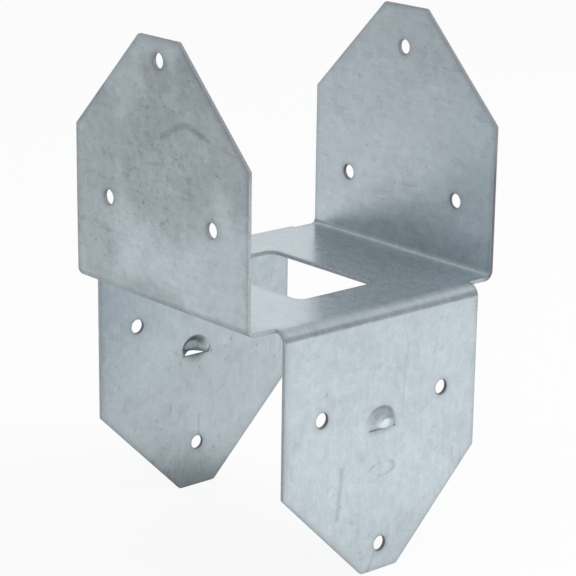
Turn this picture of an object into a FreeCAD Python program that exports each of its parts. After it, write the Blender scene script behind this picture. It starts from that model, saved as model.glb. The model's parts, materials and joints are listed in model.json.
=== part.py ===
"""Timber post base: one folded sheet of galvanised steel.

A cross-shaped plate has two flanges folded up to hold a beam and two folded down, a quarter
turn round, to hold the post under it. Frame: millimetres, +Z up, the origin at the centre of
the plate's top face. The beam runs along Y between the upper flanges, which stand at -X and
+X. The post stands between the lower flanges, which hang at -Y and +Y.
"""
import FreeCAD, Part
import math
import os
import Sketcher

NODE = "folded_bracket"

# Driving dimensions in millimetres: alias, value, meaning.
DIMENSIONS = [
    ("sheet", 1.2, "thickness of the sheet, 18 gauge"),
    ("bend_radius", 2.4, "inside radius of all four bends"),
    ("beam_gap", 90.5, "clear width between the upper flanges"),
    ("post_gap", 83.5, "clear width between the lower flanges"),
    ("upper_width", 77.8, "width of an upper flange, along Y"),
    ("lower_width", 73.4, "width of a lower flange, along X"),
    ("upper_height", 74.6, "plate's top face to an upper flange's tip"),
    ("lower_height", 77.6, "plate's underside to a lower flange's tip"),
    ("shoulder_cut", 30.0, "leg of the 45 degree cut at each shoulder"),
    ("outline_round", 1.0, "radius of the flanges' outline corners"),
    ("notch_round", 0.4, "radius in the plate's four inner corners"),
    ("opening_length", 45.0, "plate opening, along Y"),
    ("opening_width", 28.0, "plate opening, along X"),
    ("opening_round", 3.0, "radius of the opening's corners"),
    ("nail_hole", 4.8, "diameter of every nail hole"),
    ("upper_spacing", 46.8, "between the two low holes of an upper flange"),
    ("lower_spacing", 45.8, "between the two low holes of a lower flange"),
    ("upper_row", 19.6, "plate's top face to the nearer upper row"),
    ("lower_row", 20.9, "plate's underside to the nearer lower row"),
    ("row_stagger", 6.1, "how much further out the facing flange has its holes"),
    ("tip_hole_rise", 42.6, "from a flange's row to its tip hole"),
    ("hood_drop", 34.4, "plate's underside to the cut under each hood"),
    ("hood_depth", 2.9, "how far the hollow of a hood goes in from the inner face"),
    ("mouth_radius", 5.3, "hollow's radius at the inner face"),
    ("hollow_radius", 1.3, "hollow's radius at its deepest"),
    ("hood_rise", 2.6, "how far a hood stands out of the outer face"),
    ("foot_radius", 5.2, "hood's radius at the outer face"),
    ("crown_radius", 1.6, "hood's radius at its crown"),
    ("mouth_round", 1.0, "rounding where the inner face turns into the hollow"),
    ("hollow_round", 3.0, "rounding at the bottom of the hollow"),
    ("foot_round", 1.5, "rounding where a hood leaves the outer face"),
    ("crown_round", 4.0, "rounding of the crown"),
    ("lip_reach", 4.0, "run of the slope that trims a hood's lip"),
    ("lip_rise", 2.0, "rise of that slope"),
]

START, END, CENTRE = 1, 2, 3
ORIGIN, X_AXIS, Y_AXIS = -1, -1, -2
TOUCH = 1e-6
X, Y, Z = FreeCAD.Vector(1, 0, 0), FreeCAD.Vector(0, 1, 0), FreeCAD.Vector(0, 0, 1)

size = {alias: value for alias, value, meaning in DIMENSIONS}


def point(across, up):
    """A point of a sketch."""
    return FreeCAD.Vector(across, up, 0)


def fill_sheet(doc):
    """The spreadsheet that every feature reads its sizes from."""
    cells = doc.addObject("Spreadsheet::Sheet", "sizes")
    for row, (alias, value, meaning) in enumerate(DIMENSIONS, start=1):
        cells.set(f"A{row}", alias)
        cells.set(f"B{row}", str(value))
        cells.set(f"C{row}", meaning)
        cells.setAlias(f"B{row}", alias)
    doc.recompute()


def new_sketch(body, name, role):
    """A sketch on one of the body's own origin planes."""
    sketch = body.newObject("Sketcher::SketchObject", name)
    plane = next(feature for feature in body.Origin.OriginFeatures if feature.Role == role)
    sketch.AttachmentSupport = [(plane, "")]
    sketch.MapMode = "FlatFace"
    return sketch


def bind(sketch, name, constraint, expression):
    """Add a named dimension that follows the spreadsheet."""
    index = sketch.addConstraint(constraint)
    sketch.renameConstraint(index, name)
    sketch.setExpression("Constraints." + name, expression)


def bind_level(sketch, name, low, high, downwards, value, expression):
    """An upright distance between two sketch points, measured down if downwards is set."""
    ends = (*high, *low) if downwards else (*low, *high)
    bind(sketch, name, Sketcher.Constraint("DistanceY", *ends, value), expression)


def join(sketch, first, second):
    """Tie the touching ends of two edges: tangent at a bend, coincident at a corner."""
    pairs = [(a, b) for a in (START, END) for b in (START, END)
             if sketch.getPoint(first, a).distanceToPoint(sketch.getPoint(second, b)) < TOUCH]
    edges = (sketch.Geometry[first], sketch.Geometry[second])
    bent = any(isinstance(edge, Part.ArcOfCircle) for edge in edges)
    sketch.addConstraint(Sketcher.Constraint("Tangent" if bent else "Coincident",
                                             first, pairs[0][0], second, pairs[0][1]))


def draw_closed(sketch, edges):
    """Draw a closed outline of lines and arcs, joined in order, its square lines kept square."""
    for edge in edges:
        sketch.addGeometry(edge, False)
    for index, edge in enumerate(edges):
        if not isinstance(edge, Part.LineSegment):
            continue
        run = edge.EndPoint - edge.StartPoint
        if abs(run.x) < TOUCH:
            sketch.addConstraint(Sketcher.Constraint("Vertical", index))
        elif abs(run.y) < TOUCH:
            sketch.addConstraint(Sketcher.Constraint("Horizontal", index))
    for index in range(len(edges)):
        join(sketch, index, (index + 1) % len(edges))


def draw_polygon(sketch, corners):
    """Draw a closed outline of straight lines through some corners."""
    ends = corners[1:] + corners[:1]
    draw_closed(sketch, [Part.LineSegment(start, end) for start, end in zip(corners, ends)])


def bend(centre_across, centre_up, radius, side, down):
    """A quarter arc at a floor's end: side is -1 left or 1 right, down is -1 or 1 in sketch Y."""
    centre = point(centre_across, centre_up)
    diagonal = radius * math.sqrt(0.5)
    wall_end = centre + point(side * radius, 0)
    middle = centre + point(side * diagonal, down * diagonal)
    floor_end = centre + point(0, down * radius)
    return Part.Arc(wall_end, middle, floor_end)


def channel_profile(sketch, gap, height, downwards):
    """A square U of sheet, its walls standing up from the plate or hanging down from it."""
    sheet, radius = size["sheet"], size["bend_radius"]
    half = size[gap] / 2
    out = -1 if downwards else 1
    floor = -sheet if downwards else 0.0

    def at(across, away):
        return point(across, floor + out * away)

    tip = size[height]
    outer = radius + sheet
    level = floor + out * radius
    flat = half - radius
    draw_closed(sketch, [
        Part.LineSegment(at(-half, tip), at(-half, radius)),
        bend(-flat, level, radius, -1, -out),
        Part.LineSegment(at(-flat, 0), at(flat, 0)),
        bend(flat, level, radius, 1, -out),
        Part.LineSegment(at(half, radius), at(half, tip)),
        Part.LineSegment(at(half, tip), at(half + sheet, tip)),
        Part.LineSegment(at(half + sheet, tip), at(half + sheet, radius)),
        bend(flat, level, outer, 1, -out),
        Part.LineSegment(at(flat, -sheet), at(-flat, -sheet)),
        bend(-flat, level, outer, -1, -out),
        Part.LineSegment(at(-half - sheet, radius), at(-half - sheet, tip)),
        Part.LineSegment(at(-half - sheet, tip), at(-half, tip)),
    ])
    left_wall, left_bend, inner_floor, right_bend, right_wall, right_tip = range(6)
    right_outer_bend, outer_floor, left_outer_bend = 7, 8, 9
    top_face = outer_floor if downwards else inner_floor
    for constraint in (
        Sketcher.Constraint("Coincident", left_bend, CENTRE, left_outer_bend, CENTRE),
        Sketcher.Constraint("Coincident", right_bend, CENTRE, right_outer_bend, CENTRE),
        Sketcher.Constraint("Symmetric", left_wall, START, right_wall, END, Y_AXIS),
        Sketcher.Constraint("Equal", left_bend, right_bend),
        Sketcher.Constraint("PointOnObject", top_face, START, X_AXIS),
    ):
        sketch.addConstraint(constraint)
    bind(sketch, "gap",
         Sketcher.Constraint("DistanceX", left_wall, START, right_wall, END, 2 * half),
         "sizes." + gap)
    bind(sketch, "sheet", Sketcher.Constraint("DistanceX", right_tip, START, right_tip, END, sheet),
         "sizes.sheet")
    bind(sketch, "bend", Sketcher.Constraint("Radius", left_bend, radius), "sizes.bend_radius")
    bind_level(sketch, "height", (inner_floor, START), (left_wall, START), downwards, tip,
               "sizes." + height)


def fold_channel(body, name, role, gap, height, width, downwards):
    """Two flanges and the strip of plate between them, as one folded strip of sheet."""
    sketch = new_sketch(body, name + "_profile", role)
    channel_profile(sketch, gap, height, downwards)
    pad = body.newObject("PartDesign::Pad", name)
    pad.Profile = sketch
    pad.SideType = "Symmetric"
    pad.setExpression("Length", "sizes." + width)
    return pad


def opening_pocket(body):
    """The rectangular opening in the middle of the plate, its corners still square."""
    half_width, half_length = size["opening_width"] / 2, size["opening_length"] / 2
    corners = [point(-half_width, -half_length), point(half_width, -half_length),
               point(half_width, half_length), point(-half_width, half_length)]
    sketch = new_sketch(body, "opening_outline", "XY_Plane")
    draw_polygon(sketch, corners)
    sketch.addConstraint(Sketcher.Constraint("Symmetric", 0, START, 2, START, ORIGIN, START))
    bind(sketch, "width", Sketcher.Constraint("DistanceX", 0, START, 0, END, 2 * half_width),
         "sizes.opening_width")
    bind(sketch, "length", Sketcher.Constraint("DistanceY", 1, START, 1, END, 2 * half_length),
         "sizes.opening_length")
    pocket = body.newObject("PartDesign::Pocket", "plate_opening")
    pocket.Profile = sketch
    pocket.Type = "ThroughAll"
    pocket.SideType = "Symmetric"
    return pocket


def through_edges(feature, direction, wanted):
    """Names of the straight edges along one direction that cross the sheet and are wanted."""
    names = []
    for number, edge in enumerate(feature.Shape.Edges, start=1):
        crosses = abs(edge.Length - size["sheet"]) < TOUCH and isinstance(edge.Curve, Part.Line)
        if not crosses or abs(edge.Curve.Direction.dot(direction)) < 1 - TOUCH:
            continue
        if wanted(edge.CenterOfMass):
            names.append(f"Edge{number}")
    return names


def outline_corners(feature):
    """The corners of all four flanges' outlines, beyond the bends."""
    upper = through_edges(feature, X, lambda p: p.z > 2 * size["bend_radius"])
    lower = through_edges(feature, Y, lambda p: p.z < -2 * size["bend_radius"])
    return upper + lower


def cut_shoulders(body, base):
    """Cut the outer corners of every flange at 45 degrees."""
    chamfer = body.newObject("PartDesign::Chamfer", "shoulders")
    chamfer.Base = (base, outline_corners(base))
    chamfer.setExpression("Size", "sizes.shoulder_cut")
    return chamfer


def round_edges(body, name, base, edges, radius):
    """Round some edges by one radius of the spreadsheet."""
    fillet = body.newObject("PartDesign::Fillet", name)
    fillet.Base = (base, edges)
    fillet.setExpression("Radius", "sizes." + radius)
    return fillet


def nail_holes(body, name, role, spacing, row, towards_normal, downwards):
    """Three nail holes in one flange: a row of two, and one near the tip.

    spacing and row are (value, expression) pairs. The cut runs from the middle of the bracket
    through one flange only, along the sketch's normal or against it.
    """
    sketch = new_sketch(body, name + "_centres", role)
    out = -1 if downwards else 1
    rise = size["tip_hole_rise"]
    level = out * row[0]
    radius = size["nail_hole"] / 2
    for across, up in ((-spacing[0] / 2, level), (spacing[0] / 2, level), (0, level + out * rise)):
        sketch.addGeometry(Part.Circle(point(across, up), Z, radius), False)
    for constraint in (
        Sketcher.Constraint("Symmetric", 0, CENTRE, 1, CENTRE, Y_AXIS),
        Sketcher.Constraint("PointOnObject", 2, CENTRE, Y_AXIS),
        Sketcher.Constraint("Equal", 0, 1),
        Sketcher.Constraint("Equal", 0, 2),
    ):
        sketch.addConstraint(constraint)
    bind(sketch, "hole", Sketcher.Constraint("Diameter", 0, size["nail_hole"]), "sizes.nail_hole")
    bind(sketch, "spacing", Sketcher.Constraint("DistanceX", 0, CENTRE, 1, CENTRE, spacing[0]),
         spacing[1])
    bind_level(sketch, "row", (ORIGIN, START), (0, CENTRE), downwards, row[0], row[1])
    bind_level(sketch, "rise", (0, CENTRE), (2, CENTRE), downwards, rise, "sizes.tip_hole_rise")
    pocket = body.newObject("PartDesign::Pocket", name)
    pocket.Profile = sketch
    pocket.Type = "ThroughAll"
    pocket.Reversed = towards_normal
    return pocket


def turned_cone(body, kind, name, face, depth, base_radius, end_radius):
    """Half of a blunt cone that stands out of the back flange above the cut line.

    It is turned half a turn about the cut line's middle. face is a (value, expression) pair,
    where its base lies, and the other sizes are names in the spreadsheet.
    """
    cut = -size["sheet"] - size["hood_drop"]
    base, end = face[0], face[0] + size[depth]
    centre, tip = point(base, cut), point(end, cut)
    sketch = new_sketch(body, name + "_profile", "YZ_Plane")
    draw_polygon(sketch, [centre, point(base, cut + size[base_radius]),
                          point(end, cut + size[end_radius]), tip])
    base_line, end_line, axis_line = 0, 2, 3
    axis = sketch.addGeometry(Part.LineSegment(centre, tip), True)
    sketch.addConstraint(Sketcher.Constraint("Coincident", axis, START, axis_line, END))
    sketch.addConstraint(Sketcher.Constraint("Coincident", axis, END, axis_line, START))
    bind(sketch, "face", Sketcher.Constraint("DistanceX", ORIGIN, START, base_line, START, base),
         face[1])
    bind(sketch, "cut", Sketcher.Constraint("DistanceY", base_line, START, ORIGIN, START, -cut),
         "sizes.sheet + sizes.hood_drop")
    bind(sketch, "depth", Sketcher.Constraint("DistanceX", axis, START, axis, END, size[depth]),
         "sizes." + depth)
    bind(sketch, "base",
         Sketcher.Constraint("DistanceY", base_line, START, base_line, END, size[base_radius]),
         "sizes." + base_radius)
    bind(sketch, "end",
         Sketcher.Constraint("DistanceY", end_line, END, end_line, START, size[end_radius]),
         "sizes." + end_radius)
    turned = body.newObject(kind, name)
    turned.Profile = sketch
    turned.ReferenceAxis = (sketch, ["Axis0"])
    turned.Angle = 180
    turned.Midplane = True
    return turned


def ring_edges(feature, radius, distance):
    """The half rings of one radius about the hoods' axes, so far from the middle along Y."""
    names = []
    for number, edge in enumerate(feature.Shape.Edges, start=1):
        if not isinstance(edge.Curve, Part.Circle):
            continue
        same_size = abs(edge.Curve.Radius - radius) < TOUCH
        if same_size and abs(abs(edge.Curve.Center.y) - distance) < TOUCH:
            names.append(f"Edge{number}")
    return names


def trim_lip(body):
    """Slope the hood's lower lip upwards as it leaves the sheet."""
    outer_face = size["post_gap"] / 2 + size["sheet"]
    cut = -size["sheet"] - size["hood_drop"]
    reach = outer_face + size["lip_reach"]
    sketch = new_sketch(body, "lip_slope", "YZ_Plane")
    draw_polygon(sketch, [point(outer_face, cut), point(reach, cut),
                          point(reach, cut + size["lip_rise"])])
    bind(sketch, "face", Sketcher.Constraint("DistanceX", ORIGIN, START, 0, START, outer_face),
         "sizes.post_gap / 2 + sizes.sheet")
    bind(sketch, "cut", Sketcher.Constraint("DistanceY", 0, START, ORIGIN, START, -cut),
         "sizes.sheet + sizes.hood_drop")
    bind(sketch, "reach", Sketcher.Constraint("DistanceX", 0, START, 0, END, size["lip_reach"]),
         "sizes.lip_reach")
    bind(sketch, "rise", Sketcher.Constraint("DistanceY", 1, START, 1, END, size["lip_rise"]),
         "sizes.lip_rise")
    pocket = body.newObject("PartDesign::Pocket", "hood_lip")
    pocket.Profile = sketch
    pocket.SideType = "Symmetric"
    pocket.setExpression("Length", "4 * sizes.foot_radius")
    return pocket


def mirror_to_front(body, name, features):
    """Repeat the back flange's features on the front flange."""
    plane = next(feature for feature in body.Origin.OriginFeatures if feature.Role == "XZ_Plane")
    mirrored = body.newObject("PartDesign::Mirrored", name)
    mirrored.Originals = features
    mirrored.MirrorPlane = (plane, [""])
    body.Tip = mirrored
    return mirrored


def check_volume(step, before, after, grows):
    """Stop if a feature added or removed nothing, which a wrong direction does silently."""
    change = after.Shape.Volume - before.Shape.Volume
    if (change > 0) != grows or abs(change) < 0.1:
        raise RuntimeError(f"{step} changed the volume by {change:.2f} mm3")


def add_hoods(body, step):
    """A half-round hood pressed out of each lower flange above a straight cut, open below."""
    doc = body.Document
    inner_face = size["post_gap"] / 2
    outer_face = inner_face + size["sheet"]
    outside = turned_cone(body, "PartDesign::Revolution", "hood_outside",
                          (outer_face, "sizes.post_gap / 2 + sizes.sheet"),
                          "hood_rise", "foot_radius", "crown_radius")
    inside = turned_cone(body, "PartDesign::Groove", "hood_inside",
                         (inner_face, "sizes.post_gap / 2"),
                         "hood_depth", "mouth_radius", "hollow_radius")
    base = mirror_to_front(body, "front_hood", [outside, inside])
    doc.recompute()
    check_volume("hood outside", step, outside, True)
    check_volume("hood inside", outside, inside, False)
    for name, radius, distance, rounding, grows in (
        ("hood_feet", "foot_radius", outer_face, "foot_round", True),
        ("hood_crowns", "crown_radius", outer_face + size["hood_rise"], "crown_round", False),
        ("hood_hollows", "hollow_radius", inner_face + size["hood_depth"], "hollow_round", True),
        ("hood_mouths", "mouth_radius", inner_face, "mouth_round", False),
    ):
        rounded = round_edges(body, name, base, ring_edges(base, size[radius], distance), rounding)
        doc.recompute()
        check_volume(name, base, rounded, grows)
        base = rounded
    lip = trim_lip(body)
    doc.recompute()
    check_volume("hood lip", base, lip, False)
    mirror_to_front(body, "front_hood_lip", [lip])
    doc.recompute()


def build_bracket(doc):
    """The whole bracket, one body from the folded strips to the finished sheet."""
    body = doc.addObject("PartDesign::Body", NODE)
    body.Label = NODE
    upper = fold_channel(body, "upper_channel", "XZ_Plane",
                         "beam_gap", "upper_height", "upper_width", False)
    lower = fold_channel(body, "lower_channel", "YZ_Plane",
                         "post_gap", "lower_height", "lower_width", True)
    opening = opening_pocket(body)
    doc.recompute()
    check_volume("lower channel", upper, lower, True)
    check_volume("opening", lower, opening, False)

    shoulders = cut_shoulders(body, opening)
    doc.recompute()
    outline = round_edges(body, "outline_corners", shoulders, outline_corners(shoulders),
                          "outline_round")
    doc.recompute()
    in_opening = through_edges(outline, Z, lambda p: abs(p.x) < size["opening_width"])
    opening_corners = round_edges(body, "opening_corners", outline, in_opening, "opening_round")
    doc.recompute()
    at_notch = through_edges(opening_corners, Z, lambda p: abs(p.x) > size["opening_width"])
    notches = round_edges(body, "notch_corners", opening_corners, at_notch, "notch_round")

    upper_spacing = (size["upper_spacing"], "sizes.upper_spacing")
    lower_spacing = (size["lower_spacing"], "sizes.lower_spacing")
    stagger = size["row_stagger"]
    upper_near = (size["upper_row"], "sizes.upper_row")
    upper_far = (size["upper_row"] + stagger, "sizes.upper_row + sizes.row_stagger")
    lower_near = (size["sheet"] + size["lower_row"], "sizes.sheet + sizes.lower_row")
    lower_far = (lower_near[0] + stagger, "sizes.sheet + sizes.lower_row + sizes.row_stagger")
    step = notches
    for name, role, spacing, row, towards_normal, downwards in (
        ("left_nail_holes", "YZ_Plane", upper_spacing, upper_far, False, False),
        ("right_nail_holes", "YZ_Plane", upper_spacing, upper_near, True, False),
        ("front_nail_holes", "XZ_Plane", lower_spacing, lower_far, True, True),
        ("back_nail_holes", "XZ_Plane", lower_spacing, lower_near, False, True),
    ):
        holes = nail_holes(body, name, role, spacing, row, towards_normal, downwards)
        doc.recompute()
        check_volume(name, step, holes, False)
        step = holes

    add_hoods(body, step)
    return body


def check_document(doc):
    """Stop on any failed object, because recompute() doesn't raise."""
    for item in doc.Objects:
        if {"Invalid", "Error"} & set(item.State):
            raise RuntimeError(f"{item.Name} is {item.State}")
        if item.isDerivedFrom("Sketcher::SketchObject") and not item.FullyConstrained:
            raise RuntimeError(f"{item.Name} isn't fully constrained")


def main():
    doc = FreeCAD.newDocument("timber_post_base")
    fill_sheet(doc)
    body = build_bracket(doc)
    check_document(doc)
    shape = body.Shape
    if shape.isNull() or not shape.isValid() or len(shape.Solids) != 1:
        raise RuntimeError("the bracket isn't one valid solid")
    os.makedirs("parts", exist_ok=True)
    shape.exportStep(f"parts/{body.Label}.step")
    box = shape.BoundBox
    print(f"{body.Label}: volume {shape.Volume:.1f} mm3, faces {len(shape.Faces)}")
    print(f"x {box.XMin:.2f} to {box.XMax:.2f}, y {box.YMin:.2f} to {box.YMax:.2f}, "
          f"z {box.ZMin:.2f} to {box.ZMax:.2f}")


main()
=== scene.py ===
import json
import math

import bpy
import numpy as np
from mathutils import Matrix, Vector, geometry, kdtree


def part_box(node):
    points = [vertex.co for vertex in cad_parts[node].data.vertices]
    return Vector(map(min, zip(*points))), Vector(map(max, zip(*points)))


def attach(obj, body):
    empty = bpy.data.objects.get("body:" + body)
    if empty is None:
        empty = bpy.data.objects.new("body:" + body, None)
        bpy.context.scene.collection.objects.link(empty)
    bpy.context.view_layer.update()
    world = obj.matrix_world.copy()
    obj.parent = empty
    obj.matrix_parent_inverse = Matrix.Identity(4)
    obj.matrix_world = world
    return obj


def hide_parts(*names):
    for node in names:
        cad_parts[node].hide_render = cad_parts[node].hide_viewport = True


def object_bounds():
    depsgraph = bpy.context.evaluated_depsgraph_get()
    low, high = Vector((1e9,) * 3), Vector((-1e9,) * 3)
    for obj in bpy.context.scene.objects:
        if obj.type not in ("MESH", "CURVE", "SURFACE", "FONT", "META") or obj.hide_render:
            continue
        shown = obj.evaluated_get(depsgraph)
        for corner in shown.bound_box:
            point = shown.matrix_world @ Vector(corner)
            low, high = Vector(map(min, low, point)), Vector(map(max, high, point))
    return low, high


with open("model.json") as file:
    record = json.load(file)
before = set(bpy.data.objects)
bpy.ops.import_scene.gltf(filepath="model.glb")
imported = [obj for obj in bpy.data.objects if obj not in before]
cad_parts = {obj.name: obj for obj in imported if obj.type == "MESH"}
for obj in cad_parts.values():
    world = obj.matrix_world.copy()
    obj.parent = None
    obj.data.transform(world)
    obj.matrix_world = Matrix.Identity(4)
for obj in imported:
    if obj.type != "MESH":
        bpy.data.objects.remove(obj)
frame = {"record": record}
cad_low, cad_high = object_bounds()

TO_MM, MM = 1000, 0.001

# ---- the sheet's sizes, in millimetres ----

SHEET = 1.2
UPPER_BEND, LOWER_BEND = 1.7, 2.4     # inner radii of the bends up and down
UPPER_HALF, LOWER_HALF = 38.9, 36.7   # half the width of an upper and of a lower flange
SHOULDER = 30.0                       # leg of the cut at each flange's shoulders
OPENING_HALF_X, OPENING_HALF_Y = 14.0, 22.5
OUTLINE_ROUND, NOTCH_ROUND, OPENING_ROUND = 1.0, 0.4, 3.0
HOLE_COAT = 0.2                       # zinc on a nail hole's wall
HOLE_ROLL = 1.7                       # a hole's rolled edge, as a multiple of EDGE_SECTION's insets

# A hood is pressed out of the sheet above a straight cut, which frees its lower lip.
HOOD_CUT = 34.4                       # plate's underside to the cut
HOOD_SLIT, SLIT_GAP = 5.1, 0.03       # the cut's half length, and its half width in the flat
HOOD_CENTRE, HOOD_HALF_WIDTH = -0.5, 6.0
HOOD_MIDDLE, HOOD_HEIGHT = 1.6, 7.0   # its crown's middle and its upper end, above the cut
HOOD_CHIN = 3.2                       # from the crown's middle down to where it would end
HOOD_RISE, HOLLOW_DEPTH = 2.35, 2.5
HOOD_CROWN = 0.36                     # the share of its width and height that is level
LIP_SLOPE, LIP_SKEW, LIP_FADE = 0.30, 0.9, 1.3   # the lip's pull upwards, its tilt, its reach

# The cut edge's section: how far in from the cut, how far under the top face, the turn of its
# normal away from the sheet's, and whether the strip below it is cut metal.
EDGE_SECTION = [
    (0.26, 0.00, 0.0, False), (0.15, 0.02, 0.45, False), (0.06, 0.08, 0.9, True),
    (0.00, 0.24, 1.45, True), (0.00, 1.10, 1.7, True), (0.03, 1.17, 2.3, False),
    (0.10, 1.20, math.pi, False),
]

# ---- where the record and the CAD box put the sheet ----

CAD_LOW, CAD_HIGH = (TO_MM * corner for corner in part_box("folded_bracket"))
MOUNTS = {mount["name"]: mount for mount in frame["record"]["mounts"]}
UPPER_FACE = -TO_MM * MOUNTS["left_nails"]["pos_m"][0]
LOWER_FACE = -TO_MM * MOUNTS["front_nails"]["pos_m"][1]
UPPER_FLAT = UPPER_FACE - SHEET - UPPER_BEND   # where the plate ends and the bends begin
LOWER_FLAT = LOWER_FACE - SHEET - LOWER_BEND
UPPER_RUN = (UPPER_BEND + SHEET / 2) * math.pi / 2   # a bend's length along the flat pattern
LOWER_RUN = (LOWER_BEND + SHEET / 2) * math.pi / 2


def upper_reach(z):
    """Where a height on an upper flange lies along the flat pattern."""
    return UPPER_FLAT + UPPER_RUN + z - UPPER_BEND


def lower_reach(z):
    """The same for a depth on a lower flange, z being negative."""
    return LOWER_FLAT + LOWER_RUN - z - SHEET - LOWER_BEND


UPPER_TIP, LOWER_TIP = upper_reach(CAD_HIGH.z), lower_reach(CAD_LOW.z)
HOOD_REACH = lower_reach(-SHEET - HOOD_CUT)

# ---- the mesh's fineness, in millimetres ----

CONTOUR_SPACING, ARC_SPACING, ARC_STEPS = 0.6, 0.25, 3
GRID_SPACING, BEND_ROWS, PLATE_ROWS = 1.7, 9, 47
HOLE_POINTS, SLIT_POINTS = 44, 40
HOOD_ZONE, HOOD_SPACING = 8.0, 0.4    # the finer grid's radius round a hood's cut, and its step
ZONE_GAP = 0.3                        # between the finer grid and the coarser one
HOOD_CLEAR, GRID_CLEAR = 0.45, 0.75   # from a contour to the nearest grid point
NUDGE = 0.01                          # the step that measures the surface's slopes
MERGE = 1e-7                          # how near two points of the flat pattern count as one

# ---- looks ----

# A place on the flat pattern is (u, v, face): u and v are millimetres from the plate's middle
# along X and Y, and the face is TOP for the plate's upper side or BACK for its underside.
TOP, BACK = 0.0, 48.0
SPOT_DEPTH = 4.0                      # how far a spot reaches towards the other face
STROKE_CORE, RING_CORE, SPOT_CORE = 0.15, 0.2, 0.35   # the share of a mark's size at full strength
ROLLED, PART_ROLLED, DASHED = 0.13, 0.8, 0.16   # how much each noise varies along v

ZINC, WORN_ZINC = (0.61, 0.69, 0.735, 1), (0.59, 0.655, 0.685, 1)
ZINC_METALLIC, ZINC_ROUGHNESS, MOTTLED_ROUGHNESS = 0.85, 0.31, 0.22
ZINC_RELIEF, MARK_DEPTH = 0.00003, -0.25   # metres, and the handling marks' share of it
PLATE_CALM = 0.65                     # how much of its detail the plate lacks
PLATE_END = (36.0, 43.0)              # where the plate's calmer, smoother look and its painted light fade, from its middle
BORDER_END, EDGE_BAND_END = (0.15, 1.1), (0.4, 2.6)   # where an edge's looks fade, from the cut

# Shares of the coat's detail in its tone and its relief, and of each mask in its tone and its
# roughness. Some tones are painted light: painted shade over and in the hoods and over the left
# flange's outside, a painted highlight on the hoods' crowns and a painted lift on the plate.
DETAIL_TONES = {"cloud": 0.20, "mottle": 0.46, "grain": 0.20, "streak": 0.16, "flake": 0.06}
DETAIL_HEIGHTS = {"mottle": 1.6, "grain": 0.5, "streak": 0.6, "spangle": 0.10}
MASK_TONES = {
    "border": -0.10, "fleck": -0.16, "smudge": -0.10, "dashes": -0.14, "marks": -0.13,
    "hood_shade": -0.15, "edge_band": -0.12, "hollow_shade": -0.38, "left_shade": -0.21, "speckle": -0.10,
    "painted_highlight": 0.42, "plate": 0.07,
}
MASK_ROUGHNESSES = {
    "sheen": 0.06, "fleck": 0.10, "smudge": 0.06, "marks": 0.08, "hood_shade": 0.08, "plate": -0.07,
    "left_shade": 0.04, "painted_highlight": -0.06,
}

SCRATCHES = [                         # start, end and width
    ((-93.3, -1.8, BACK), (-97.9, -10.6, BACK), 1.4),
    ((-97.9, -10.6, BACK), (-97.6, -15.0, BACK), 1.4),
    ((-97.6, -15.0, BACK), (-95.4, -22.0, BACK), 1.2),
    ((-15.2, -84.9, TOP), (-16.7, -99.5, TOP), 1.2),
    ((-1.4, -112.5, TOP), (-4.6, -118.6, TOP), 0.7),
]
RUB_RING = ((0.3, -88.3, TOP), (4.6, 2.0), 1.1)   # centre, half sizes and width
# Painted shade over most of the left flange's outside, reaching to its slopes, its edge and its
# bend.
LEFT_SHADE_SPOTS = [                   # centre and half sizes
    ((-85.0, -2.0, BACK), (30.0, 38.0)),
    ((-110.0, 0.0, BACK), (9.0, 12.0)),
]
LEFT_SHADE_STROKES = [                 # along one slope, the other edge and the bend
    ((-110.0, -14.0, BACK), (-84.0, -37.0, BACK), 15.0),
    ((-90.0, 28.0, BACK), (-54.0, 33.0, BACK), 22.0),
    ((-45.5, 40.0, BACK), (-45.5, -6.0, BACK), 9.0),
]
RAGGED = 1.5                          # how far noise shifts the edge of the left flange's painted shade
SPECKLED = ((-84.0, 2.0, BACK), (15.0, 30.0))   # centre and half sizes

# Marks at a hood: across, above its cut, half width and half height. They are painted shade over
# the hood's outside, painted shade in its hollow on the inside, and a painted highlight on its
# crown.
HOOD_SHADE = (-0.4, 2.8, 7.6, 6.0)
HOOD_HOLLOW_SHADE = (-0.5, 2.0, 5.6, 5.2)
HOOD_HIGHLIGHT = (-1.5, 2.2, 2.9, 3.2)

COATED_DARK, COATED_PALE = (0.42, 0.45, 0.475, 1), (0.62, 0.655, 0.69, 1)
# Bare steel's colour, also a painted shade on the nail holes' walls.
BARE_STEEL_AND_HOLE_SHADE = (0.20, 0.20, 0.225, 1)
EDGE_METALLIC, EDGE_ROUGHNESS, BURR_ROUGHNESS = 0.4, 0.55, 0.25
EDGE_RELIEF = 0.00004                 # metres

# Where the cut edge is bare, and where the nail holes' walls take the same dark colour as a painted
# shade, by how much, and between which two places that comes and goes.
RIGHT_FROM, RIGHT_SLOPES, RIGHT_SLOPES_BARE = (41.0, 46.0), (74.0, 84.0), 0.6
LEFT_TIP, LEFT_TIP_BARE = (-84.0, -92.0), 0.6
LOWER_FROM, UPPER_HOLES_SHADE, LOWER_HOLES_SHADE = (42.0, 48.0), 0.5, 0.9

# ---- studio, in metres ----

SENSOR, CLIP_START, CLIP_END = 36, 0.01, 20
WORLD_TINT, WORLD_FILL = (0.96, 0.98, 1.0, 1), 0.5
WORLD_MIRRORED = 0.6                  # how much of the white backdrop mirrored rays see
FLOOR_HALF, FLOOR_GREY, FLOOR_SEEN = 6.0, (0.9, 0.9, 0.9, 1), 0.9

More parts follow.
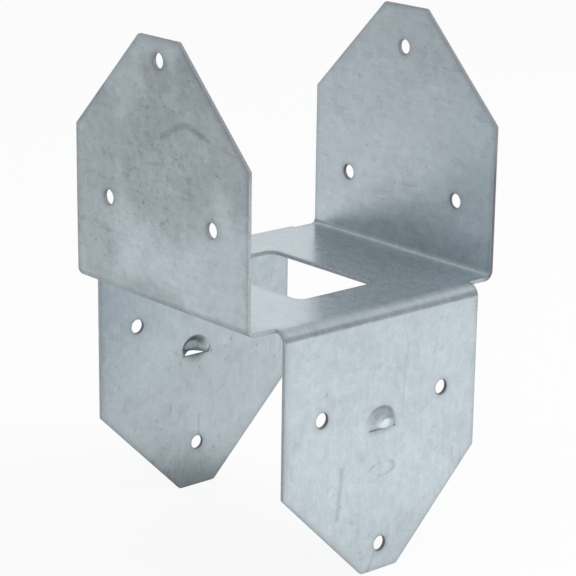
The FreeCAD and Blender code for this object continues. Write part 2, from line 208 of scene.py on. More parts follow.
# Painted shadow and painted shade on the floor that mirrored rays see, as tones along a distance:
# from the back flange's foot, along Y, and along a line away from the camera to the left; then
# the change from that line's left to its right.
FOOT_TONES = [(0.006, 0.40), (0.042, 1.0)]
DEPTH_TONES = [(-0.088, 1.0), (-0.050, 0.80), (0.06, 0.80), (0.12, 1.0)]
LINE_TONES = [(0.0, 1.0), (0.05, 0.62), (0.17, 0.68), (0.27, 0.97), (0.33, 0.97), (0.42, 0.82),
              (0.60, 0.66)]
SIDE_CHANGES = [(-0.03, -0.13), (0.03, 0.08)]
LINE, RIGHT_OF_LINE = (-0.65, 0.76, 0), (0.76, 0.65, 0)
SIDE_FROM, SIDE_FULL = 0.15, 0.25     # where along the line that change begins and is whole

STANDING_CARDS = [                    # name, the foot's ends, low and high edge, shade
    ("near_left_card", (-0.67, 0.017), (-0.2925, 0.342), 0.03, 0.26, 0.07),
    ("far_left_card", (-0.585, 0.684), (-0.129, 1.074), 0.04, 0.45, 0.24),
    ("right_card", (0.05, -0.62), (0.65, -0.10), cad_low.z, 0.26, 0.27),
]
CEILING = [(-1.8, -1.2), (1.2, -1.2), (1.0, 0.2), (0.2, 1.1), (-0.3, 1.9), (-1.8, 1.9)]
CEILING_HEIGHT, CEILING_SHADE = 0.9, 0.52


class Tree:
    """Short calls for one node tree."""

    def __init__(self, tree):
        self.tree = tree
        tree.nodes.clear()

    def set(self, node, slot, value):
        """Link a socket's source, or write a plain value."""
        if isinstance(value, bpy.types.NodeSocket):
            self.tree.links.new(value, node.inputs[slot])
        else:
            node.inputs[slot].default_value = value

    def add(self, kind, slots=None, **settings):
        """A node with its settings made and its sockets set."""
        node = self.tree.nodes.new(kind)
        for name, value in settings.items():
            setattr(node, name, value)
        for slot, value in (slots or {}).items():
            self.set(node, slot, value)
        return node

    def math(self, operation, *values):
        return self.add("ShaderNodeMath", dict(enumerate(values)), operation=operation).outputs[0]

    def vector(self, operation, *values):
        node = self.add("ShaderNodeVectorMath", dict(enumerate(values)), operation=operation)
        number = operation in ("LENGTH", "DISTANCE", "DOT_PRODUCT")
        return node.outputs["Value" if number else "Vector"]

    def scaled(self, vector, factor):
        slots = {0: vector, "Scale": factor}
        return self.add("ShaderNodeVectorMath", slots, operation="SCALE").outputs["Vector"]

    def drawn_out(self, place, share):
        """A place for noise that varies less along v, the way the sheet was rolled."""
        return self.vector("MULTIPLY", place, (1.0, share, 1.0))

    def noise(self, place, scale, detail=3.0, roughness=0.5, warp=0.0):
        slots = {"Vector": place, "Scale": scale, "Detail": detail, "Roughness": roughness,
                 "Distortion": warp}
        return self.add("ShaderNodeTexNoise", slots).outputs["Fac"]

    def warped(self, place, scale, reach):
        """A place moved along u and v by noise, up to half the reach."""
        noise = self.add("ShaderNodeTexNoise", {"Vector": place, "Scale": scale})
        off = self.vector("SUBTRACT", noise.outputs["Color"], (0.5, 0.5, 0.5))
        return self.vector("ADD", place, self.vector("MULTIPLY", off, (reach, reach, 0.0)))

    def fade(self, value, low, high, to_low=0.0, to_high=1.0):
        """A smooth step: to_low up to low, to_high from high on."""
        slots = dict(enumerate((value, low, high, to_low, to_high)))
        return self.add("ShaderNodeMapRange", slots, interpolation_type="SMOOTHSTEP").outputs[0]

    def blend(self, share, first, second):
        """One colour turning into another, by the Mix node's colour sockets 6, 7 and 2."""
        slots = {0: share, 6: first, 7: second}
        return self.add("ShaderNodeMix", slots, data_type="RGBA").outputs[2]

    def layered(self, start, layers):
        """A start value plus each layer's socket times its share."""
        for source, share in layers:
            start = self.math("MULTIPLY_ADD", source, share, start)
        return start

    def most(self, masks):
        total = masks[0]
        for mask in masks[1:]:
            total = self.math("MAXIMUM", total, mask)
        return total

    def attribute(self, name, output="Vector"):
        return self.add("ShaderNodeAttribute", attribute_name=name).outputs[output]

    def relief(self, height, distance, strength=1.0):
        slots = {"Strength": strength, "Distance": distance, "Height": height}
        return self.add("ShaderNodeBump", slots).outputs[0]

    def mix_shaders(self, share, first, second):
        return self.add("ShaderNodeMixShader", {0: share, 1: first, 2: second}).outputs[0]

    def finish(self, kind, slots):
        """The shader that a tree ends in."""
        shader = self.add(kind, slots).outputs[0]
        self.add("ShaderNodeOutputMaterial", {"Surface": shader})


def new_material(name):
    material = bpy.data.materials.new(name)
    material.use_nodes = True
    return material, Tree(material.node_tree)


def new_object(name, data):
    thing = bpy.data.objects.new(name, data)
    bpy.context.scene.collection.objects.link(thing)
    return thing


# ---- camera, world, floor, lamps and cards ----


def look_camera(azimuth, elevation, roll, distance, target, lens):
    a, e = math.radians(azimuth), math.radians(elevation)
    back = Vector((math.sin(a) * math.cos(e), -math.cos(a) * math.cos(e), math.sin(e)))
    right = Vector((math.cos(a), math.sin(a), 0))
    up = back.cross(right)
    turn = Matrix.Rotation(math.radians(roll), 3, back)
    right, up = turn @ right, turn @ up
    data = bpy.data.cameras.new("photo_view")
    data.lens, data.sensor_width = lens, SENSOR
    data.clip_start, data.clip_end = CLIP_START, CLIP_END
    place = Matrix((right, up, back)).transposed().to_4x4()
    place.translation = Vector(target) + back * distance
    camera = new_object("photo_view", data)
    camera.matrix_world = place
    bpy.context.scene.camera = camera


def backdrop_share(t, seen, mirrored):
    """How much of the plain white backdrop each ray sees, and 0 for the rays that light."""
    path = t.add("ShaderNodeLightPath")
    shares = {"Is Camera Ray": seen, "Is Glossy Ray": mirrored, "Is Transmission Ray": seen}
    return t.most([t.math("MULTIPLY", path.outputs[ray], share) for ray, share in shares.items()])


def make_world():
    world = bpy.data.worlds.new("studio")
    bpy.context.scene.world = world
    world.use_nodes = True
    t = Tree(world.node_tree)
    white = t.add("ShaderNodeBackground", {"Color": (1, 1, 1, 1), "Strength": 1.0})
    fill = t.add("ShaderNodeBackground", {"Color": WORLD_TINT, "Strength": WORLD_FILL})
    share = backdrop_share(t, 1, WORLD_MIRRORED)
    mixed = t.mix_shaders(share, fill.outputs[0], white.outputs[0])
    t.add("ShaderNodeOutputWorld", {"Surface": mixed})


def ramp(t, value, stops):
    """A smooth curve through (value, tone) stops."""
    total = stops[0][1]
    for (low, tone), (high, next_tone) in zip(stops, stops[1:]):
        total = t.math("ADD", t.fade(value, low, high, 0.0, next_tone - tone), total)
    return total


def mirrored_floor(t):
    """The floor's brightness for mirrored rays: a painted shadow under the bracket and painted
    shade far off to the left.
    """
    place = t.add("ShaderNodeNewGeometry").outputs["Position"]
    level = t.vector("MULTIPLY", place, (1, 1, 0))
    back_foot = (0, -MOUNTS["front_nails"]["pos_m"][1], 0)
    foot = ramp(t, t.vector("DISTANCE", level, back_foot), FOOT_TONES)
    depth = ramp(t, t.vector("DOT_PRODUCT", level, (0, 1, 0)), DEPTH_TONES)
    reach = t.vector("DOT_PRODUCT", level, LINE)
    side = ramp(t, t.vector("DOT_PRODUCT", level, RIGHT_OF_LINE), SIDE_CHANGES)
    change = t.math("MULTIPLY_ADD", side, t.fade(reach, SIDE_FROM, SIDE_FULL), 1.0)
    left = t.math("MULTIPLY", ramp(t, reach, LINE_TONES), change)
    return t.math("MULTIPLY", t.math("MULTIPLY", foot, depth), left)


def floor_material():
    material, t = new_material("floor_white")
    diffuse = t.add("ShaderNodeBsdfDiffuse", {"Color": FLOOR_GREY}).outputs[0]
    white = t.add("ShaderNodeEmission", {"Strength": 1.0}).outputs[0]
    seen = t.mix_shaders(backdrop_share(t, FLOOR_SEEN, 0), diffuse, white)
    # Mirrored rays see the floor with its painted shadow and painted shade.
    mirrored = t.add("ShaderNodeEmission", {"Strength": mirrored_floor(t)}).outputs[0]
    glossy = t.add("ShaderNodeLightPath").outputs["Is Glossy Ray"]
    t.finish("ShaderNodeMixShader", {0: glossy, 1: seen, 2: mirrored})
    return material


def make_floor():
    mesh = bpy.data.meshes.new("floor")
    corners = [(-1, -1), (1, -1), (1, 1), (-1, 1)]
    places = [(x * FLOOR_HALF, y * FLOOR_HALF, cad_low.z) for x, y in corners]
    mesh.from_pydata(places, [], [(0, 1, 2, 3)])
    mesh.materials.append(floor_material())
    floor = new_object("floor", mesh)


def soft_box(name, place, size, power):
    data = bpy.data.lights.new(name, "AREA")
    data.shape, data.size, data.energy = "SQUARE", size, power
    lamp = new_object(name, data)
    lamp.location = place
    lamp.rotation_mode = "QUATERNION"
    lamp.rotation_quaternion = (-Vector(place)).to_track_quat("-Z", "Y")
    lamp.visible_glossy = False


def card(name, corners, shade):
    """A card beside the set that only mirrored rays see, as a studio hangs for shiny metal."""
    mesh = bpy.data.meshes.new(name)
    mesh.from_pydata(corners, [], [tuple(range(len(corners)))])
    material, t = new_material(name)
    t.finish("ShaderNodeEmission", {"Strength": shade})
    mesh.materials.append(material)
    piece = new_object(name, mesh)
    piece.visible_camera = False
    piece.visible_shadow = False
    piece.visible_diffuse = False


def standing_card(name, start, end, low, high, shade):
    (x0, y0), (x1, y1) = start, end
    card(name, [(x0, y0, low), (x1, y1, low), (x1, y1, high), (x0, y0, high)], shade)


# ---- masks on the flat pattern ----


def stroke(t, place, start, end, width):
    """1 on a scratch between two points, fading to 0 at its width."""
    start, end = Vector(start), Vector(end)
    run = end - start
    from_start = t.vector("SUBTRACT", place, start)
    share = t.math("DIVIDE", t.vector("DOT_PRODUCT", from_start, run), run.dot(run))
    held = t.math("MINIMUM", t.math("MAXIMUM", share, 0.0), 1.0)
    off = t.vector("DISTANCE", from_start, t.scaled(run, held))
    return t.fade(off, STROKE_CORE * width, width, 1.0, 0.0)


def from_centre(t, place, centre, size):
    """0 at a point, 1 on an oval round it, and more outside."""
    return t.vector("LENGTH", t.vector("DIVIDE", t.vector("SUBTRACT", place, centre), size))


def ring(t, place, centre, size, width):
    """1 on an oval, fading to 0 at its width."""
    off = t.math("SUBTRACT", from_centre(t, place, centre, (*size, 1.0)), 1.0)
    share = width / size[0]
    return t.fade(t.math("ABSOLUTE", off), RING_CORE * share, share, 1.0, 0.0)


def spot(t, place, centre, size):
    """1 at a point, fading to 0 at an oval round it."""
    return t.fade(from_centre(t, place, centre, (*size, SPOT_DEPTH)), SPOT_CORE, 1.0, 1.0, 0.0)


def hood_spots(t, place, mark, face):
    """The same spot at both hoods."""
    across, above, half_width, half_height = mark
    centres = [(across, side * (HOOD_REACH - above), face) for side in (-1, 1)]
    return t.most([spot(t, place, centre, (half_width, half_height)) for centre in centres])


def handling_marks(t, place, grain):
    """The scuffs and scratches of a bracket that lay in a box with others."""
    jittered = t.warped(place, 0.8, reach=1.2)
    scratches = [stroke(t, jittered, *scratch) for scratch in SCRATCHES]
    worn_off = t.fade(t.noise(jittered, 0.33, detail=1.0), 0.34, 0.48)
    rubbed_ring = t.math("MULTIPLY", ring(t, jittered, *RUB_RING), worn_off)
    broken = t.fade(grain, 0.36, 0.56, 0.45, 1.0)
    return t.math("MULTIPLY", t.most(scratches + [rubbed_ring]), broken)


def left_flange_shade(t, place):
    """1 where the left flange's outside is darkened as a painted shade, with ragged edges."""
    darkened = [spot(t, place, *mark) for mark in LEFT_SHADE_SPOTS]
    darkened += [stroke(t, place, *mark) for mark in LEFT_SHADE_STROKES]
    ragged = t.noise(place, 0.10, detail=5.0, roughness=0.62, warp=0.4)
    edge = t.math("MULTIPLY_ADD", ragged, RAGGED, -RAGGED / 2)
    return t.fade(t.math("ADD", t.most(darkened), edge), 0.0, 1.0)


def on_plate(t, place):
    """1 on the plate between the bends."""
    sides = [t.math("ABSOLUTE", t.vector("DOT_PRODUCT", place, axis))
             for axis in ((1, 0, 0), (0, 1, 0))]
    return t.math("MULTIPLY", *(t.fade(side, *PLATE_END, 1.0, 0.0) for side in sides))


def patches(t, place, scale, low, high):
    """The wide soft areas that hold more of the flecks and smudges."""
    return t.fade(t.noise(place, scale, detail=1.0), low, high)


def storage_stains(t, place):
    """Flecks and smudges in patches, and short dashes."""
    flecks = t.noise(t.drawn_out(place, PART_ROLLED), 0.62, roughness=0.55)
    smudges = t.noise(t.drawn_out(place, ROLLED), 0.30, detail=4.0, roughness=0.6, warp=0.6)
    dashes = t.noise(t.drawn_out(place, DASHED), 0.42, roughness=0.55)
    fleck_patches = patches(t, place, 0.055, 0.42, 0.62)
    smudge_patches = patches(t, place, 0.03, 0.45, 0.6)
    return {
        "fleck": t.math("MULTIPLY", t.fade(flecks, 0.60, 0.74), fleck_patches),
        "smudge": t.math("MULTIPLY", t.fade(smudges, 0.56, 0.72), smudge_patches),
        "dashes": t.fade(dashes, 0.62, 0.78),
    }


# ---- materials ----


def zinc_detail(t, place):
    """The coat's own variation, from wide clouds to fine grain, and its spangle."""
    rolled, part_rolled = t.drawn_out(place, ROLLED), t.drawn_out(place, PART_ROLLED)
    crystals = {"Vector": t.warped(place, 0.5, reach=2.0), "Scale": 0.42}
    spangle = t.add("ShaderNodeTexVoronoi", crystals)
    flakes = t.add("ShaderNodeSeparateColor", {0: spangle.outputs["Color"]})
    return {
        "cloud": t.noise(place, 0.045, detail=2.0),
        "mottle": t.noise(part_rolled, 0.30, detail=5.0, roughness=0.64, warp=0.5),
        "grain": t.noise(part_rolled, 1.3, roughness=0.6),
        "streak": t.noise(rolled, 0.85, detail=4.0, roughness=0.6),
        "flake": flakes.outputs[0],
        "sheen": flakes.outputs[1],
        "spangle": spangle.outputs["Distance"],
    }


def zinc_masks(t, place, detail, plate, calm):
    """Every place where the coat is stained or marked or darker by its cuts, and where light is
    painted: painted shade over each hood and in its hollow and over the left flange's outside, a
    painted highlight on each hood's crown, and painted light on the plate.
    """
    rim = t.attribute("rim", "Fac")
    blotches = t.fade(detail["mottle"], 0.35, 0.6, 0.4, 1.0)
    speckles = t.noise(t.drawn_out(place, PART_ROLLED), 0.5, detail=4.0, roughness=0.62)
    stains = storage_stains(t, place)
    return {
        **{name: t.math("MULTIPLY", mask, calm) for name, mask in stains.items()},
        "marks": handling_marks(t, place, detail["grain"]),
        # Painted shade over each hood's outside, with a rougher finish.
        "hood_shade": hood_spots(t, place, HOOD_SHADE, TOP),
        # Painted shade in each hood's hollow, on the sheet's inside.
        "hollow_shade": hood_spots(t, place, HOOD_HOLLOW_SHADE, BACK),
        # A painted highlight on each hood's crown, with a smoother finish.
        "painted_highlight": hood_spots(t, place, HOOD_HIGHLIGHT, TOP),
        # Painted shade over the left flange's outside.
        "left_shade": left_flange_shade(t, place),
        "speckle": t.math("MULTIPLY", spot(t, place, *SPECKLED), t.fade(speckles, 0.50, 0.62)),
        # Darker in blotches within a few millimetres of the cut.
        "edge_band": t.math("MULTIPLY", t.fade(rim, *EDGE_BAND_END, 1.0, 0.0), blotches),
        "border": t.fade(rim, *BORDER_END, 1.0, 0.0),
        "sheen": detail["sheen"],
        # The plate's lighter tone is painted light; its smoother finish is its own.
        "plate": plate,
    }


def layers(sources, shares):
    """Each named socket with its share."""
    return [(sources[name], share) for name, share in shares.items()]


def zinc():
    material, t = new_material("galvanised")
    place = t.attribute("flat")
    plate = on_plate(t, place)
    calm = t.math("MULTIPLY_ADD", plate, -PLATE_CALM, 1.0)
    detail = zinc_detail(t, place)
    masks = zinc_masks(t, place, detail, plate, calm)
    centred = {name: t.math("SUBTRACT", detail[name], 0.5) for name in DETAIL_TONES}
    tone = t.math("MULTIPLY_ADD", t.layered(0.0, layers(centred, DETAIL_TONES)), calm, 1.0)
    tone = t.layered(tone, layers(masks, MASK_TONES))
    stained = t.math("MAXIMUM", masks["fleck"], masks["marks"])
    rough = t.math("MULTIPLY_ADD", centred["mottle"], MOTTLED_ROUGHNESS, ZINC_ROUGHNESS)
    height = t.layered(t.math("MULTIPLY", masks["marks"], MARK_DEPTH),
                       layers(detail, DETAIL_HEIGHTS))
    t.finish("ShaderNodeBsdfPrincipled", {
        "Metallic": ZINC_METALLIC,
        "Base Color": t.scaled(t.blend(stained, ZINC, WORN_ZINC), tone),
        "Roughness": t.layered(rough, layers(masks, MASK_ROUGHNESSES)),
        "Normal": t.relief(height, ZINC_RELIEF, calm),
    })
    return material


def bare_metal_and_hole_shade(t, place):
    """1 where the edge lost its coat, along the right flange and at the left tip, and on the holes'
    walls, which it darkens as a painted shade.
    """
    along = t.vector("DOT_PRODUCT", place, (1, 0, 0))
    across = t.math("ABSOLUTE", t.vector("DOT_PRODUCT", place, (0, 1, 0)))
    slopes = t.fade(along, *RIGHT_SLOPES, 1.0, RIGHT_SLOPES_BARE)
    right = t.math("MULTIPLY", t.fade(along, *RIGHT_FROM), slopes)
    left_tip = t.fade(along, *LEFT_TIP, 0.0, LEFT_TIP_BARE)
    # The holes' walls, more on the lower flanges: a painted shade.
    hole = t.fade(across, *LOWER_FROM, UPPER_HOLES_SHADE, LOWER_HOLES_SHADE)
    pierced = t.math("MULTIPLY", t.attribute("pierced", "Fac"), hole)
    return t.most([right, left_tip, pierced])


def cut_steel():
    material, t = new_material("cut_edge")
    place = t.attribute("flat")
    burr = t.noise(t.vector("MULTIPLY", place, (1.0, 1.0, 0.01)), 2.2, roughness=0.6)
    smear = t.noise(place, 0.35, detail=2.0)
    share = t.layered(0.0, [(burr, 0.4), (smear, 0.6)])
    coated = t.blend(t.fade(share, 0.35, 0.66), COATED_DARK, COATED_PALE)
    t.finish("ShaderNodeBsdfPrincipled", {
        "Metallic": EDGE_METALLIC,
        "Base Color": t.blend(bare_metal_and_hole_shade(t, place), coated, BARE_STEEL_AND_HOLE_SHADE),
        "Roughness": t.math("MULTIPLY_ADD", burr, BURR_ROUGHNESS, EDGE_ROUGHNESS),
        "Normal": t.relief(burr, EDGE_RELIEF),
    })
    return material


# ---- the folded sheet, made from its flat pattern ----


def wave(u, v):
    """The slight waviness of a real sheet, in millimetres."""
    return (0.035 * np.sin(u / 13 + 0.7) * np.sin(v / 19 + 1.9)
            + 0.025 * np.sin(u / 31 - v / 23 + 0.4) + 0.012 * np.sin(u / 6.1 + v / 9.7))


def hood_shape(across, above):
    """A hood's height as a share of its rise: a small crown, steep sides, nothing below its cut."""
    up = above - HOOD_MIDDLE
    run = np.where(up > 0, up / (HOOD_HEIGHT - HOOD_MIDDLE), up / HOOD_CHIN)
    out = np.hypot((across - HOOD_CENTRE) / HOOD_HALF_WIDTH, run)
    fall = np.clip((out - HOOD_CROWN) / (1 - HOOD_CROWN), 0, 1)
    return np.where(above >= 0, 0.5 + 0.5 * np.cos(np.pi * fall), 0)


def fold(flat, under):
    """Folded places, in millimetres, of points of the flat pattern so far under its top face."""
    u, v = flat[:, 0].copy(), flat[:, 1].copy()
    above_cut = HOOD_REACH - np.abs(v)
    share = np.clip(under / SHEET, 0, 1)
    lift = hood_shape(u, above_cut) * (HOOD_RISE * (1 - share) + HOLLOW_DEPTH * share)
    skew = 1 - LIP_SKEW * np.clip(u / HOOD_SLIT, -1, 1)
    v -= np.sign(v) * LIP_SLOPE * skew * lift * np.exp(-np.maximum(above_cut, 0) / LIP_FADE)
    w = wave(u, v) - under + lift
    upper = np.abs(u) > UPPER_FLAT
    lower = (np.abs(v) > LOWER_FLAT) & (np.abs(u) < LOWER_HALF + 0.1)
    along = np.where(upper, np.abs(u) - UPPER_FLAT, np.where(lower, np.abs(v) - LOWER_FLAT, 0))
    run = np.where(upper, UPPER_RUN, LOWER_RUN)
    angle = np.clip(along / run, 0, 1) * math.pi / 2
    straight = np.maximum(along - run, 0)
    radius = np.where(upper, UPPER_BEND - w, LOWER_BEND + SHEET + w)
    out = radius * np.sin(angle)
    x = np.where(upper, np.sign(u) * (UPPER_FLAT + out), u)
    y = np.where(lower, np.sign(v) * (LOWER_FLAT + out), v)
    z = np.where(upper, UPPER_BEND - radius * np.cos(angle) + straight,
                 np.where(lower, radius * np.cos(angle) - LOWER_BEND - SHEET - straight, w))
    return np.stack([x, y, z], 1)


def rounded(corners):
    """A closed contour through (u, v, radius) corners, its points about evenly apart."""
    points = []
    count = len(corners)
    for i, (u, v, radius) in enumerate(corners):
        here = np.array([u, v])
        before = np.array(corners[i - 1][:2]) - here
        after = np.array(corners[(i + 1) % count][:2]) - here
        before /= np.linalg.norm(before)
        after /= np.linalg.norm(after)
        half = math.acos(np.clip(before @ after, -1, 1)) / 2
        start = here + before * radius / math.tan(half)
        end = here + after * radius / math.tan(half)
        middle = here + (before + after) / np.linalg.norm(before + after) * radius / math.sin(half)
        steps = max(ARC_STEPS, int(radius * (math.pi - 2 * half) / ARC_SPACING))
        for k in range(steps + 1):
            share = k / steps
            chord = start * (1 - share) + end * share - middle
            points.append(middle + chord / np.linalg.norm(chord) * radius)
    dense = []
    for a, b in zip(points, points[1:] + points[:1]):
        pieces = max(1, round(np.linalg.norm(b - a) / CONTOUR_SPACING))
        dense += [a + (b - a) * k / pieces for k in range(pieces)]
    return np.array(dense)


def circle(u, v, radius):
    a = np.linspace(0, 2 * math.pi, HOLE_POINTS, endpoint=False)
    return np.stack([u + radius * np.cos(a), v + radius * np.sin(a)], 1)


def slit(side):
    """The cut under a hood: a lens so thin that only the hood's lift opens it."""
    u = np.linspace(-HOOD_SLIT, HOOD_SLIT, SLIT_POINTS)
    v = side * HOOD_REACH
    gap = SLIT_GAP * (1 - (u / HOOD_SLIT) ** 2)
    near = np.stack([u, v - side * gap], 1)
    far = np.stack([u[::-1], v + side * gap], 1)[1:-1]
    return np.concatenate([near, far])


def outline():
    """The cross of four arms with cut shoulders."""
    corners = []
    for su, sv in ((1, 1), (-1, 1), (-1, -1), (1, -1)):
        quarter = [
            (UPPER_TIP, UPPER_HALF - SHOULDER, OUTLINE_ROUND),
            (UPPER_TIP - SHOULDER, UPPER_HALF, OUTLINE_ROUND),
            (LOWER_HALF, UPPER_HALF, NOTCH_ROUND),
            (LOWER_HALF, LOWER_TIP - SHOULDER, OUTLINE_ROUND),
            (LOWER_HALF - SHOULDER, LOWER_TIP, OUTLINE_ROUND),
        ]
        if su * sv < 0:
            quarter.reverse()
        corners += [(su * u, sv * v, radius) for u, v, radius in quarter]
    return rounded(corners)


def opening():
    corners = [(-1, -1), (1, -1), (1, 1), (-1, 1)]
    return rounded([(u * OPENING_HALF_X, v * OPENING_HALF_Y, OPENING_ROUND) for u, v in corners])


def nail_holes():
    """(u, v, radius) of all twelve holes, from the record's mounts."""
    holes = []
    for side, reach, sign in (("left", upper_reach, -1), ("right", upper_reach, 1),
                              ("front", lower_reach, -1), ("back", lower_reach, 1)):
        row = MOUNTS[side + "_nails"]
        half = row["dims"]["spacing_x_mm"] / 2
        radius = row["dims"]["hole_r_mm"] - HOLE_COAT
        low = sign * reach(TO_MM * row["pos_m"][2])
        tip = sign * reach(TO_MM * MOUNTS[side + "_tip_nail"]["pos_m"][2])
        for along, across in ((low, -half), (low, half), (tip, 0)):
            place = (along, across) if reach is upper_reach else (across, along)
            holes.append((*place, radius))
    return holes


def turns_left(loop):
    after = np.roll(loop, -1, 0)
    return np.sum(loop[:, 0] * after[:, 1] - after[:, 0] * loop[:, 1]) > 0


def out_of_metal(loop, is_outline):
    """Unit normals of a contour that point out of the metal."""
    tangent = np.roll(loop, -1, 0) - np.roll(loop, 1, 0)
    normal = np.stack([tangent[:, 1], -tangent[:, 0]], 1)
    normal /= np.linalg.norm(normal, axis=1)[:, None]
    outward = normal if turns_left(loop) else -normal
    return outward if is_outline else -outward


def enclosed(points, loops):
    """Which points lie inside an odd number of contours."""
    inside = np.zeros(len(points), bool)
    for loop in loops:
        for a, b in zip(loop, np.roll(loop, -1, 0)):
            if a[1] == b[1]:
                continue
            between = (points[:, 1] < a[1]) != (points[:, 1] < b[1])
            at = a[0] + (points[:, 1] - a[1]) / (b[1] - a[1]) * (b[0] - a[0])
            inside ^= between & (points[:, 0] < at)
    return inside


def to_nearest(points, targets):
    """Each point's distance to the nearest of the targets."""
    tree = kdtree.KDTree(len(targets))
    for index, (u, v) in enumerate(targets):
        tree.insert((u, v, 0), index)
    tree.balance()
    return np.array([tree.find((u, v, 0))[2] for u, v in points])


def from_hoods(points):
    """Each point's distance from the middle of the nearer hood's cut."""
    return np.minimum(np.hypot(points[:, 0], points[:, 1] - HOOD_REACH),
                      np.hypot(points[:, 0], points[:, 1] + HOOD_REACH))


def even(half):
    """Coordinates from one side to the other, a grid step apart."""
    return np.linspace(-half, half, int(2 * half / GRID_SPACING) + 1)


def arm_rows(flat_end, run, tip):
    """Coordinates along an arm: close across the bend, then even to the tip."""
    bend = np.linspace(flat_end, flat_end + run, BEND_ROWS)
    arm = np.linspace(flat_end + run, tip, int((tip - flat_end - run) / GRID_SPACING) + 1)
    return np.concatenate([bend, arm[1:]])


def grid(us, vs):
    a, b = np.meshgrid(us, vs)
    return np.stack([a.ravel(), b.ravel()], 1)


def grid_points(loops):
    """The flat pattern's inner points: an even grid over plate and arms, finer at the hoods."""
    upper_rows = arm_rows(UPPER_FLAT, UPPER_RUN, UPPER_TIP)
    lower_rows = arm_rows(LOWER_FLAT, LOWER_RUN, LOWER_TIP)
    plate_rows = np.linspace(-LOWER_FLAT, LOWER_FLAT, PLATE_ROWS)[1:-1]
    coarse = np.concatenate([
        *(grid(sign * upper_rows, even(UPPER_HALF)) for sign in (-1, 1)),
        grid(even(UPPER_FLAT)[1:-1], plate_rows),
        *(grid(even(LOWER_HALF), sign * lower_rows) for sign in (-1, 1)),
    ])
    steps = np.arange(-HOOD_ZONE, HOOD_ZONE + HOOD_SPACING / 2, HOOD_SPACING)
    fine = np.concatenate([grid(steps, side * HOOD_REACH + steps) for side in (-1, 1)])
    zone_end = HOOD_ZONE + ZONE_GAP
    points = np.concatenate([coarse[from_hoods(coarse) >= zone_end],
                             fine[from_hoods(fine) < HOOD_ZONE]])
    points = points[enclosed(points, loops)]
    clear = np.where(from_hoods(points) < zone_end, HOOD_CLEAR, GRID_CLEAR)
    return points[to_nearest(points, np.concatenate(loops)) > clear]


def contour_edges(loops):
    """Index pairs round every contour, each with the metal on its left."""
    edges, first = [], 0
    for number, loop in enumerate(loops):
        count = len(loop)
        pairs = [(first + k, first + (k + 1) % count) for k in range(count)]
        edges += pairs if turns_left(loop) == (number == 0) else [(b, a) for a, b in pairs]
        first += count
    return edges


def triangulated(flat, edges, loops):
    """Triangles over the metal, all turning left."""
    made = geometry.delaunay_2d_cdt([Vector(p) for p in flat], edges, [], 1, MERGE)
    places, triangles, sources = made[0], made[2], made[3]
    source = [min(s) if s else -1 for s in sources]
    if -1 in source or len(places) != len(flat):
        raise RuntimeError(f"points were merged or split: {len(places)} of {len(flat)}")
    triangles = np.array([[source[i] for i in face] for face in triangles])
    triangles = triangles[~enclosed(flat[triangles].mean(1), loops[1:])]
    a, b, c = (flat[triangles[:, k]] for k in range(3))
    turned = np.cross(b - a, c - a) < 0
    triangles[turned] = triangles[turned][:, ::-1]
    return triangles


def folded(flat, under, turn, facing):
    """Each point's folded place, and its normal turned from the sheet's towards the cut's."""
    places = fold(flat, under)
    du = fold(flat + [NUDGE, 0], under) - places
    dv = fold(flat + [0, NUDGE], under) - places
    up = np.cross(du, dv)
    up /= np.linalg.norm(up, axis=1)[:, None]
    side = du * facing[:, :1] + dv * facing[:, 1:]
    length = np.linalg.norm(side, axis=1)[:, None]
    side = np.where(length > 0, side / np.maximum(length, 1e-9), 0)
    return places, up * np.cos(turn)[:, None] + side * np.sin(turn)[:, None]


def skin(triangles, edges, starts):
    """The closed sheet's faces, and for each 0 for zinc or 1 for cut metal."""
    faces = [*triangles, *(starts[-1] + triangles[:, ::-1])]
    kinds = [0] * len(faces)
    for top, low, section in zip(starts, starts[1:], EDGE_SECTION):
        faces += [(top + j, top + i, low + i, low + j) for i, j in edges]
        kinds += [int(section[3])] * len(edges)
    return [tuple(int(i) for i in face) for face in faces], kinds


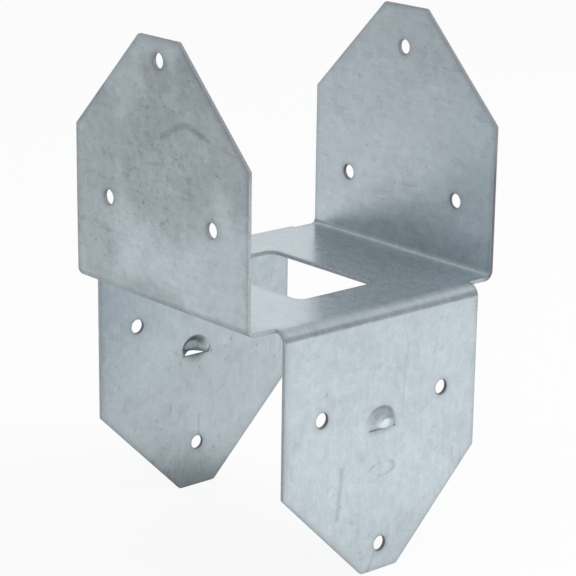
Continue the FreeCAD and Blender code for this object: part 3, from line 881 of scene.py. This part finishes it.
def sheet_mesh():
    """The closed sheet: its top face, a strip for each step of the edge's section, its back."""
    holes = [circle(*hole) for hole in nail_holes()]
    slits = [slit(side) for side in (-1, 1)]
    loops = [outline(), opening(), *holes, *slits]
    counts = [len(loop) for loop in loops]
    is_hole = np.repeat([0.0, 0.0] + [1.0] * len(holes) + [0.0] * len(slits), counts)
    roll = np.where(is_hole, HOLE_ROLL, 1.0)[:, None]
    rim = np.concatenate(loops)
    out = np.concatenate([out_of_metal(loop, k == 0) for k, loop in enumerate(loops)])
    inner = grid_points(loops)

    flat, under, turn, facing, pierced, starts = [], [], [], [], [], []
    for inset, depth, angle, _ in EDGE_SECTION:
        starts.append(sum(len(points) for points in flat))
        extra = inner if depth in (0, SHEET) else inner[:0]
        flat.append(np.concatenate([rim - out * inset * roll, extra]))
        facing.append(np.concatenate([out, np.zeros_like(extra)]))
        pierced.append(np.concatenate([is_hole, np.zeros(len(extra))]))
        under.append(np.full(len(flat[-1]), depth))
        turn.append(np.full(len(flat[-1]), angle))
    edges = contour_edges(loops)
    inset_loops = np.split(flat[0][:len(rim)], np.cumsum(counts)[:-1])
    faces, kinds = skin(triangulated(flat[0], edges, inset_loops), edges, starts)
    flat, under, turn, facing, pierced = (
        np.concatenate(part) for part in (flat, under, turn, facing, pierced))
    places, normals = folded(flat, under, turn, facing)
    coords = np.concatenate([flat, (under * BACK / SHEET)[:, None]], 1).astype(np.float32)

    mesh = bpy.data.meshes.new("folded_sheet")
    mesh.from_pydata((places * MM).tolist(), [], faces)
    mesh.polygons.foreach_set("material_index", kinds)
    mesh.polygons.foreach_set("use_smooth", [True] * len(faces))
    mesh.attributes.new("flat", "FLOAT_VECTOR", "POINT").data.foreach_set("vector", coords.ravel())
    for name, numbers in (("rim", to_nearest(flat, rim)), ("pierced", pierced)):
        mesh.attributes.new(name, "FLOAT", "POINT").data.foreach_set("value", numbers)
    mesh.update()
    mesh.normals_split_custom_set_from_vertices(normals.tolist())
    return mesh


look_camera(azimuth=-40.70, elevation=16.60, roll=0.75, distance=0.6414,
            target=(0.00098, 0.0, -0.00450), lens=136.63)
make_world()
make_floor()
soft_box("key", (0.6, -0.75, 0.9), size=0.9, power=10.0)
soft_box("top", (0.1, -0.1, 1.3), size=1.6, power=3.0)
for values in STANDING_CARDS:
    standing_card(*values)
card("ceiling_card", [(x, y, CEILING_HEIGHT) for x, y in CEILING], CEILING_SHADE)

bracket = new_object("galvanised_bracket", sheet_mesh())
bracket.data.materials.append(zinc())
bracket.data.materials.append(cut_steel())
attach(bracket, "root")
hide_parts("folded_bracket")
bpy.context.scene.view_settings.view_transform = "Standard"
